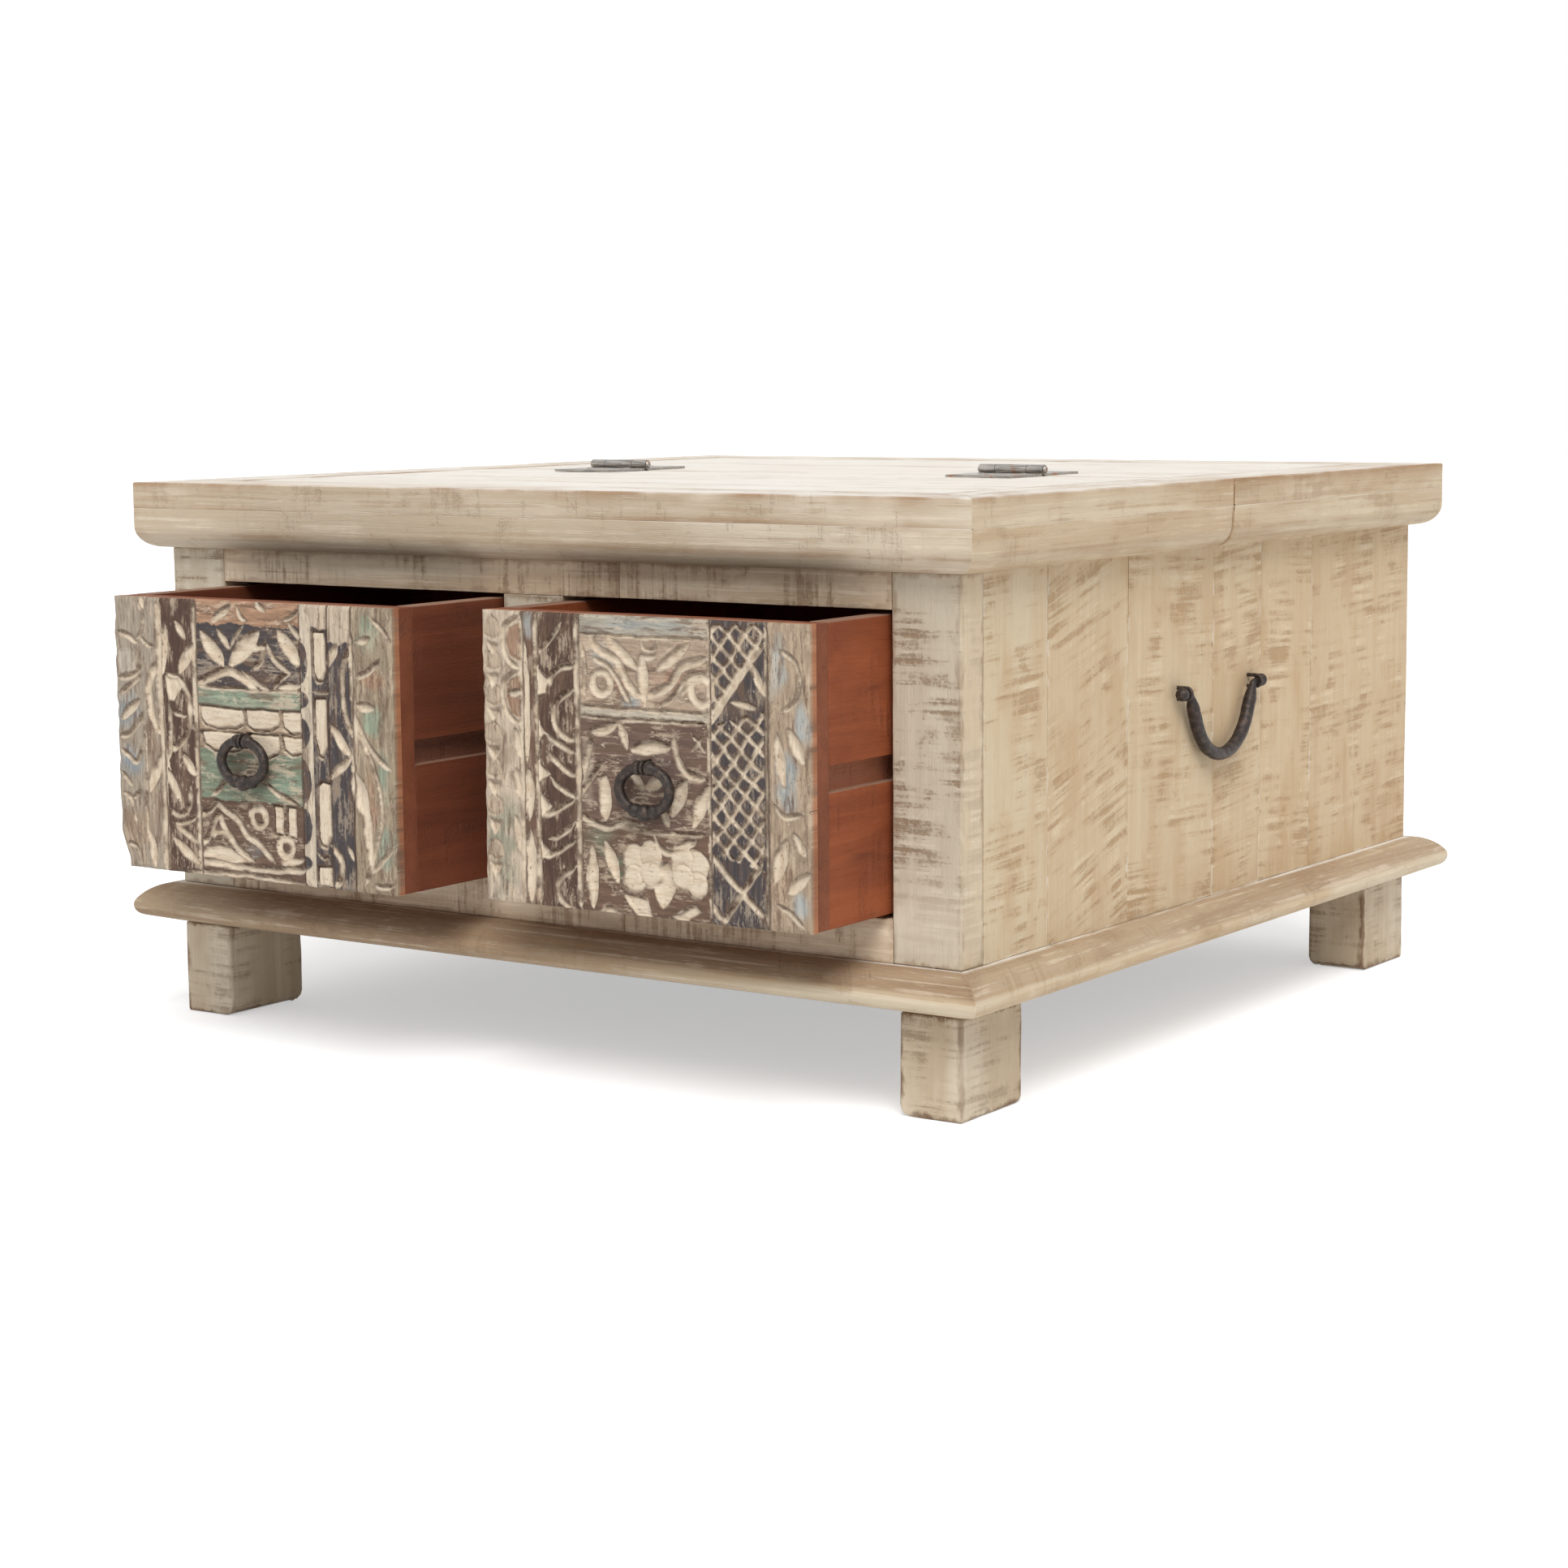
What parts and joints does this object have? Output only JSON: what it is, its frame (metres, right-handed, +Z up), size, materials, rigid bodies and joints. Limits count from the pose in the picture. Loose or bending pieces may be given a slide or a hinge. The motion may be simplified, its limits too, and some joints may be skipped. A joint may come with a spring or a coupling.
{
  "type": "storage trunk",
  "caption": "Low square limed-wood storage trunk: carved drawers with ring pulls below the fixed half of a moulded top, a chest below the hinged half, block feet and iron side handles.",
  "frame": {"origin": "on the floor, under the middle of the square top", "axes": "+X to the trunk's right as seen from the front, -Y towards the drawers' front, +Z up"},
  "size_m": [0.816, 0.9254, 0.449],
  "materials": {
    "limed_wood": "limed, rubbed back and waxed",
    "raw_wood": "sawn and oiled",
    "stained_wood": "stained red-brown, satin",
    "carved_wood": "carved, with worn milk paint",
    "black_iron": "blackened, waxed",
    "hinge_steel": "dull, tinted by rust"
  },
  "bodies": {
    "carcass": {"foot_front_left": "limed_wood", "foot_front_right": "limed_wood", "foot_back_left": "limed_wood", "foot_back_right": "limed_wood", "base_moulding_front": "limed_wood", "base_moulding_back": "limed_wood", "base_moulding_left": "limed_wood", "base_moulding_right": "limed_wood", "bottom_boards": "raw_wood", "chest_partition": "raw_wood", "drawer_divider": "raw_wood", "front_stile_left": "limed_wood", "front_stile_right": "limed_wood", "front_stile_middle": "limed_wood", "front_rail_top": "limed_wood", "front_rail_bottom": "limed_wood", "side_planks_left": "limed_wood", "side_planks_right": "limed_wood", "back_planks": "limed_wood", "fixed_top_front_board": "limed_wood", "fixed_top_moulding_front": "limed_wood", "fixed_top_left_board": "limed_wood", "fixed_top_moulding_left": "limed_wood", "fixed_top_right_board": "limed_wood", "fixed_top_moulding_right": "limed_wood", "fixed_top_planks": "limed_wood", "fixed_top_batten": "raw_wood", "drawer_runners_left": "raw_wood", "handle_left_staples": "black_iron", "drawer_runners_right": "raw_wood", "handle_right_staples": "black_iron", "hinge_fixed_leaves": "hinge_steel", "hinge_pins": "hinge_steel"},
    "lid": {"lid_back_board": "limed_wood", "lid_moulding_back": "limed_wood", "lid_left_board": "limed_wood", "lid_moulding_left": "limed_wood", "lid_right_board": "limed_wood", "lid_moulding_right": "limed_wood", "lid_planks": "limed_wood", "lid_battens": "raw_wood", "hinge_lid_leaves": "hinge_steel"},
    "drawer_left": {"drawer_left_front": "stained_wood", "drawer_left_facing": "carved_wood", "drawer_left_side_left": "stained_wood", "drawer_left_side_right": "stained_wood", "drawer_left_back": "stained_wood", "drawer_left_bottom": "stained_wood", "drawer_left_staple": "black_iron"},
    "ring_left": {"drawer_left_ring": "black_iron"},
    "bail_left": {"handle_left_bail": "black_iron"},
    "drawer_right": {"drawer_right_front": "stained_wood", "drawer_right_facing": "carved_wood", "drawer_right_side_left": "stained_wood", "drawer_right_side_right": "stained_wood", "drawer_right_back": "stained_wood", "drawer_right_bottom": "stained_wood", "drawer_right_staple": "black_iron"},
    "ring_right": {"drawer_right_ring": "black_iron"},
    "bail_right": {"handle_right_bail": "black_iron"}
  },
  "joints": [
    {"name": "lid_hinge", "type": "hinge", "parent": "carcass", "child": "lid", "pos_m": [0, -0.006, 0.445], "axis": [1, 0, 0], "range_deg": [0, 180]},
    {"name": "drawer_left_slide", "type": "slide", "parent": "carcass", "child": "drawer_left", "axis": [0, -1, 0], "range_m": [-0.126, 0.134]},
    {"name": "drawer_right_slide", "type": "slide", "parent": "carcass", "child": "drawer_right", "axis": [0, -1, 0], "range_m": [-0.0986, 0.1614]},
    {"name": "ring_left_swing", "type": "hinge", "parent": "drawer_left", "child": "ring_left", "pos_m": [-0.17675, -0.5112, 0.2518], "axis": [-1, 0, 0], "range_deg": [0, 170]},
    {"name": "ring_right_swing", "type": "hinge", "parent": "drawer_right", "child": "ring_right", "pos_m": [0.18275, -0.4838, 0.2518], "axis": [-1, 0, 0], "range_deg": [0, 170]},
    {"name": "bail_left_swing", "type": "hinge", "parent": "carcass", "child": "bail_left", "pos_m": [-0.386, 0.003, 0.276], "axis": [0, 1, 0], "range_deg": [0, 170]},
    {"name": "bail_right_swing", "type": "hinge", "parent": "carcass", "child": "bail_right", "pos_m": [0.386, 0.003, 0.276], "axis": [0, -1, 0], "range_deg": [0, 170]}
  ]
}
